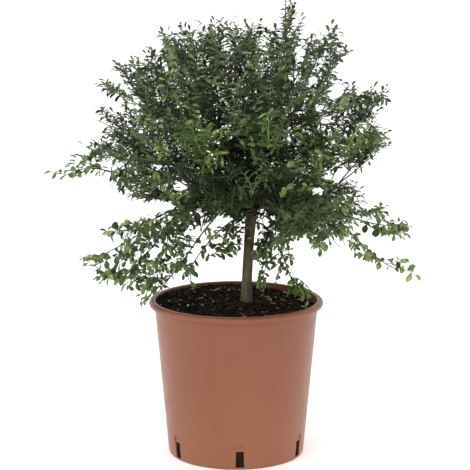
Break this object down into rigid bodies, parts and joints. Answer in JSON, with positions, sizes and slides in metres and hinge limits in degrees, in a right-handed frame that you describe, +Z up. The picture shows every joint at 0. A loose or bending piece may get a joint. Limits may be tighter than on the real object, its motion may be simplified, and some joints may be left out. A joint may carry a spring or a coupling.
{
  "type": "potted finger lime",
  "caption": "Small citrus shrub grown as a standard in a tapering plastic pot: bare leaning trunk, whorled boughs and a loose dome of small-leaved foliage, to stand on a floor",
  "frame": {"origin": "the middle of the pot's flat underside, where it meets the floor", "axes": "+Z up along the plant, -Y towards the pictured side, +X to its right"},
  "size_m": [0.4502, 0.3981, 0.5849],
  "materials": {
    "clay_plastic": "satin moulded, terracotta colour",
    "compost": null,
    "bark": "dull grey-brown bark",
    "leaf": null
  },
  "bodies": {
    "root": {"pot": "clay_plastic", "soil": "compost", "trunk": "bark", "bough_low_1": "bark", "bough_low_2": "bark", "bough_low_3": "bark", "bough_low_4": "bark", "bough_low_5": "bark", "bough_low_6": "bark", "bough_low_7": "bark", "bough_high_1": "bark", "bough_high_2": "bark", "bough_high_3": "bark", "bough_high_4": "bark", "foliage_top_1": "leaf", "foliage_top_2": "leaf", "foliage_top_3": "leaf", "foliage_top_4": "leaf", "foliage_top_5": "leaf", "foliage_upper_1": "leaf", "foliage_upper_2": "leaf", "foliage_upper_3": "leaf", "foliage_upper_4": "leaf", "foliage_upper_5": "leaf", "foliage_upper_6": "leaf", "foliage_upper_7": "leaf", "foliage_middle_1": "leaf", "foliage_middle_2": "leaf", "foliage_middle_3": "leaf", "foliage_middle_4": "leaf", "foliage_middle_5": "leaf", "foliage_back_1": "leaf", "foliage_back_2": "leaf", "foliage_spire": "leaf", "foliage_left_shoulder": "leaf", "foliage_far_left": "leaf", "foliage_left_skirt": "leaf", "foliage_left_skirt_low": "leaf", "foliage_left_skirt_lower": "leaf", "foliage_left_skirt_inner": "leaf", "foliage_right_edge": "leaf", "foliage_right_skirt": "leaf", "foliage_right_skirt_low": "leaf", "foliage_right_skirt_inner": "leaf", "foliage_trunk_right": "leaf", "foliage_trunk_left": "leaf"}
  },
  "joints": []
}
